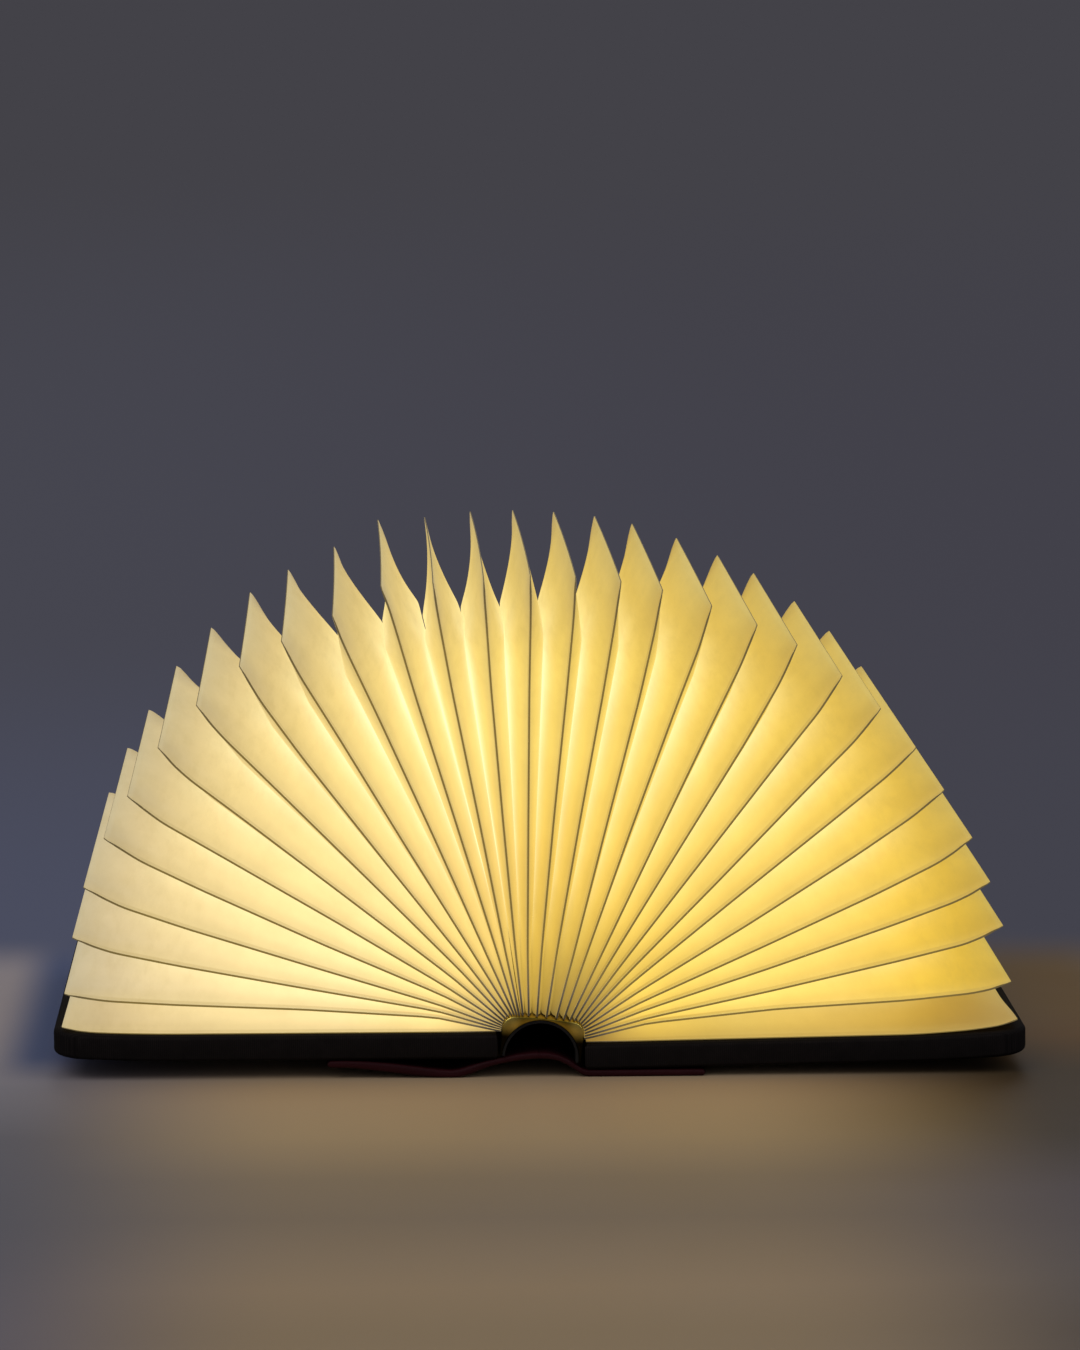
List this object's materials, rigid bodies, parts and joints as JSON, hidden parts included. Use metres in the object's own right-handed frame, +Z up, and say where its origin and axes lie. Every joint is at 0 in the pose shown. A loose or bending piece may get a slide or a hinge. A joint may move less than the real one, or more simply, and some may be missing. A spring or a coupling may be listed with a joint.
{
  "type": "folding book lamp",
  "caption": "Book-shaped lamp lying open flat, its lit paper pocket pages fanned in a half circle over a gold spine channel, with black cloth boards and a red strip.",
  "frame": {"origin": "centre of the bounding box's bottom, on the surface that the open lamp lies on, below the spine channel", "axes": "+X to the right cover's outer edge, +Y along the spine to the back, +Z up through the fan"},
  "size_m": [0.3718, 0.215, 0.1924],
  "materials": {
    "gold_metal": "gold anodised, glossy",
    "black_plastic": "matte",
    "red_leather": "fine grain, satin",
    "amber_tape": "amber flexible circuit",
    "led_warm": "warm white LED",
    "cell_foil": "foil pouch",
    "green_board": "circuit board",
    "steel_shell": "plated steel",
    "red_wire": "insulated lead",
    "fibre_board": "fibreboard",
    "black_cloth": "woven book cloth",
    "magnet_metal": "nickel-plated magnet",
    "glow_paper": "tear-proof fibre paper, lit from inside"
  },
  "bodies": {
    "spine": {"spine_channel": "gold_metal", "arch_liner": "black_plastic", "spine_strip": "red_leather", "led_tape": "amber_tape", "leds": "led_warm", "battery_cell": "cell_foil", "port_block": "black_plastic", "charge_board": "green_board", "usb_socket": "steel_shell", "hall_switch": "black_plastic", "lead_wires": "red_wire"},
    "left_cover": {"left_core": "fibre_board", "left_cloth": "black_cloth", "left_magnets": "magnet_metal", "left_endleaf": "glow_paper"},
    "right_cover": {"right_core": "fibre_board", "right_cloth": "black_cloth", "right_magnets": "magnet_metal", "right_endleaf": "glow_paper"},
    "page_01": {"page_01": "glow_paper"},
    "page_02": {"page_02": "glow_paper"},
    "page_03": {"page_03": "glow_paper"},
    "page_04": {"page_04": "glow_paper"},
    "page_05": {"page_05": "glow_paper"},
    "page_06": {"page_06": "glow_paper"},
    "page_07": {"page_07": "glow_paper"},
    "page_08": {"page_08": "glow_paper"},
    "page_09": {"page_09": "glow_paper"},
    "page_10": {"page_10": "glow_paper"},
    "page_11": {"page_11": "glow_paper"},
    "page_12": {"page_12": "glow_paper"},
    "page_13": {"page_13": "glow_paper"},
    "page_14": {"page_14": "glow_paper"},
    "page_15": {"page_15": "glow_paper"},
    "page_16": {"page_16": "glow_paper"},
    "page_17": {"page_17": "glow_paper"},
    "page_18": {"page_18": "glow_paper"},
    "page_19": {"page_19": "glow_paper"},
    "page_20": {"page_20": "glow_paper"},
    "page_21": {"page_21": "glow_paper"},
    "page_22": {"page_22": "glow_paper"},
    "page_23": {"page_23": "glow_paper"},
    "page_24": {"page_24": "glow_paper"},
    "page_25": {"page_25": "glow_paper"},
    "page_26": {"page_26": "glow_paper"},
    "page_27": {"page_27": "glow_paper"},
    "page_28": {"page_28": "glow_paper"}
  },
  "joints": [
    {"name": "left_cover_fold", "type": "hinge", "parent": "spine", "child": "left_cover", "pos_m": [-0.0057, 0, 0.0174], "axis": [0, 1, 0], "range_deg": [0, 90], "deforming": ["left_endleaf", "spine_strip"]},
    {"name": "right_cover_fold", "type": "hinge", "parent": "spine", "child": "right_cover", "pos_m": [0.0033, 0, 0.01519], "axis": [0, -1, 0], "range_deg": [0, 89.1], "deforming": ["right_endleaf", "spine_strip"]},
    {"name": "page_01_turn", "type": "hinge", "parent": "spine", "child": "page_01", "pos_m": [-0.00638, 0, 0.01654], "axis": [0, 1, 0], "range_deg": [0, 84.25], "deforming": ["page_01"]},
    {"name": "page_02_turn", "type": "hinge", "parent": "spine", "child": "page_02", "pos_m": [-0.00604, 0, 0.01593], "axis": [0, 1, 0], "range_deg": [0, 77.33], "deforming": ["page_02"]},
    {"name": "page_03_turn", "type": "hinge", "parent": "spine", "child": "page_03", "pos_m": [-0.00577, 0, 0.01517], "axis": [0, 1, 0], "range_deg": [0, 70.44], "deforming": ["page_03"]},
    {"name": "page_04_turn", "type": "hinge", "parent": "spine", "child": "page_04", "pos_m": [-0.00558, 0, 0.01425], "axis": [0, 1, 0], "range_deg": [0, 63.57], "deforming": ["page_04"]},
    {"name": "page_05_turn", "type": "hinge", "parent": "spine", "child": "page_05", "pos_m": [-0.00545, 0, 0.01322], "axis": [0, 1, 0], "range_deg": [0, 56.75], "deforming": ["page_05"]},
    {"name": "page_06_turn", "type": "hinge", "parent": "spine", "child": "page_06", "pos_m": [-0.00539, 0, 0.0121], "axis": [0, 1, 0], "range_deg": [0, 50], "deforming": ["page_06"]},
    {"name": "page_07_turn", "type": "hinge", "parent": "spine", "child": "page_07", "pos_m": [-0.00537, 0, 0.01094], "axis": [0, 1, 0], "range_deg": [0, 43.35], "deforming": ["page_07"]},
    {"name": "page_08_turn", "type": "hinge", "parent": "spine", "child": "page_08", "pos_m": [-0.00525, 0, 0.00976], "axis": [0, 1, 0], "range_deg": [0, 36.82], "deforming": ["page_08"]},
    {"name": "page_09_turn", "type": "hinge", "parent": "spine", "child": "page_09", "pos_m": [-0.00478, 0, 0.00855], "axis": [0, 1, 0], "range_deg": [0, 30.44], "deforming": ["page_09"]},
    {"name": "page_10_turn", "type": "hinge", "parent": "spine", "child": "page_10", "pos_m": [-0.00337, 0, 0.00719], "axis": [0, 1, 0], "range_deg": [0, 24.22], "deforming": ["page_10"]},
    {"name": "page_11_turn", "type": "hinge", "parent": "spine", "child": "page_11", "pos_m": [-0.00078, 0, 0.00553], "axis": [0, 1, 0], "range_deg": [0, 18.18], "deforming": ["page_11"]},
    {"name": "page_12_turn", "type": "hinge", "parent": "spine", "child": "page_12", "pos_m": [0.00329, 0, 0.00342], "axis": [0, 1, 0], "range_deg": [0, 12.32], "deforming": ["page_12"]},
    {"name": "page_13_turn", "type": "hinge", "parent": "spine", "child": "page_13", "pos_m": [0.01231, 0, -0.00049], "axis": [0, 1, 0], "range_deg": [0, 6.64], "deforming": ["page_13"]},
    {"name": "page_14_turn", "type": "hinge", "parent": "spine", "child": "page_14", "pos_m": [0.10114, 0, -0.03596], "axis": [0, 1, 0], "range_deg": [0, 1.11], "deforming": ["page_14"]},
    {"name": "page_15_turn", "type": "hinge", "parent": "spine", "child": "page_15", "pos_m": [-0.02757, 0, 0.01531], "axis": [0, -1, 0], "range_deg": [0, 4.39], "deforming": ["page_15"]},
    {"name": "page_16_turn", "type": "hinge", "parent": "spine", "child": "page_16", "pos_m": [-0.01212, 0, 0.00947], "axis": [0, -1, 0], "range_deg": [0, 9.71], "deforming": ["page_16"]},
    {"name": "page_17_turn", "type": "hinge", "parent": "spine", "child": "page_17", "pos_m": [-0.00671, 0, 0.00786], "axis": [0, -1, 0], "range_deg": [0, 15.01], "deforming": ["page_17"]},
    {"name": "page_18_turn", "type": "hinge", "parent": "spine", "child": "page_18", "pos_m": [-0.00342, 0, 0.00732], "axis": [0, -1, 0], "range_deg": [0, 20.34], "deforming": ["page_18"]},
    {"name": "page_19_turn", "type": "hinge", "parent": "spine", "child": "page_19", "pos_m": [-0.00095, 0, 0.00732], "axis": [0, -1, 0], "range_deg": [0, 25.78], "deforming": ["page_19"]},
    {"name": "page_20_turn", "type": "hinge", "parent": "spine", "child": "page_20", "pos_m": [0.0011, 0, 0.00766], "axis": [0, -1, 0], "range_deg": [0, 31.37], "deforming": ["page_20"]},
    {"name": "page_21_turn", "type": "hinge", "parent": "spine", "child": "page_21", "pos_m": [0.00268, 0, 0.00822], "axis": [0, -1, 0], "range_deg": [0, 37.17], "deforming": ["page_21"]},
    {"name": "page_22_turn", "type": "hinge", "parent": "spine", "child": "page_22", "pos_m": [0.00347, 0, 0.00891], "axis": [0, -1, 0], "range_deg": [0, 43.21], "deforming": ["page_22"]},
    {"name": "page_23_turn", "type": "hinge", "parent": "spine", "child": "page_23", "pos_m": [0.00385, 0, 0.00975], "axis": [0, -1, 0], "range_deg": [0, 49.52], "deforming": ["page_23"]},
    {"name": "page_24_turn", "type": "hinge", "parent": "spine", "child": "page_24", "pos_m": [0.00407, 0, 0.01071], "axis": [0, -1, 0], "range_deg": [0, 56.08], "deforming": ["page_24"]},
    {"name": "page_25_turn", "type": "hinge", "parent": "spine", "child": "page_25", "pos_m": [0.00425, 0, 0.0117], "axis": [0, -1, 0], "range_deg": [0, 62.88], "deforming": ["page_25"]},
    {"name": "page_26_turn", "type": "hinge", "parent": "spine", "child": "page_26", "pos_m": [0.00445, 0, 0.01266], "axis": [0, -1, 0], "range_deg": [0, 69.89], "deforming": ["page_26"]},
    {"name": "page_27_turn", "type": "hinge", "parent": "spine", "child": "page_27", "pos_m": [0.00469, 0, 0.01354], "axis": [0, -1, 0], "range_deg": [0, 77.03], "deforming": ["page_27"]},
    {"name": "page_28_turn", "type": "hinge", "parent": "spine", "child": "page_28", "pos_m": [0.00499, 0, 0.01421], "axis": [0, -1, 0], "range_deg": [0, 84.25], "deforming": ["page_28"]}
  ],
  "couplings": [
    {"joint": "page_01_turn", "follows": "left_cover_fold", "ratio": 0.93556},
    {"joint": "page_02_turn", "follows": "left_cover_fold", "ratio": 0.85872},
    {"joint": "page_03_turn", "follows": "left_cover_fold", "ratio": 0.78205},
    {"joint": "page_04_turn", "follows": "left_cover_fold", "ratio": 0.70574},
    {"joint": "page_05_turn", "follows": "left_cover_fold", "ratio": 0.62999},
    {"joint": "page_06_turn", "follows": "left_cover_fold", "ratio": 0.55504},
    {"joint": "page_07_turn", "follows": "left_cover_fold", "ratio": 0.48115},
    {"joint": "page_08_turn", "follows": "left_cover_fold", "ratio": 0.4086},
    {"joint": "page_09_turn", "follows": "left_cover_fold", "ratio": 0.33766},
    {"joint": "page_10_turn", "follows": "left_cover_fold", "ratio": 0.26855},
    {"joint": "page_11_turn", "follows": "left_cover_fold", "ratio": 0.20142},
    {"joint": "page_12_turn", "follows": "left_cover_fold", "ratio": 0.13633},
    {"joint": "page_13_turn", "follows": "left_cover_fold", "ratio": 0.073205},
    {"joint": "page_14_turn", "follows": "left_cover_fold", "ratio": 0.011817},
    {"joint": "page_15_turn", "follows": "right_cover_fold", "ratio": 0.048683},
    {"joint": "page_16_turn", "follows": "right_cover_fold", "ratio": 0.10842},
    {"joint": "page_17_turn", "follows": "right_cover_fold", "ratio": 0.16789},
    {"joint": "page_18_turn", "follows": "right_cover_fold", "ratio": 0.22777},
    {"joint": "page_19_turn", "follows": "right_cover_fold", "ratio": 0.28876},
    {"joint": "page_20_turn", "follows": "right_cover_fold", "ratio": 0.35152},
    {"joint": "page_21_turn", "follows": "right_cover_fold", "ratio": 0.4166},
    {"joint": "page_22_turn", "follows": "right_cover_fold", "ratio": 0.48442},
    {"joint": "page_23_turn", "follows": "right_cover_fold", "ratio": 0.55517},
    {"joint": "page_24_turn", "follows": "right_cover_fold", "ratio": 0.62884},
    {"joint": "page_25_turn", "follows": "right_cover_fold", "ratio": 0.7052},
    {"joint": "page_26_turn", "follows": "right_cover_fold", "ratio": 0.78379},
    {"joint": "page_27_turn", "follows": "right_cover_fold", "ratio": 0.86398},
    {"joint": "page_28_turn", "follows": "right_cover_fold", "ratio": 0.94501}
  ]
}
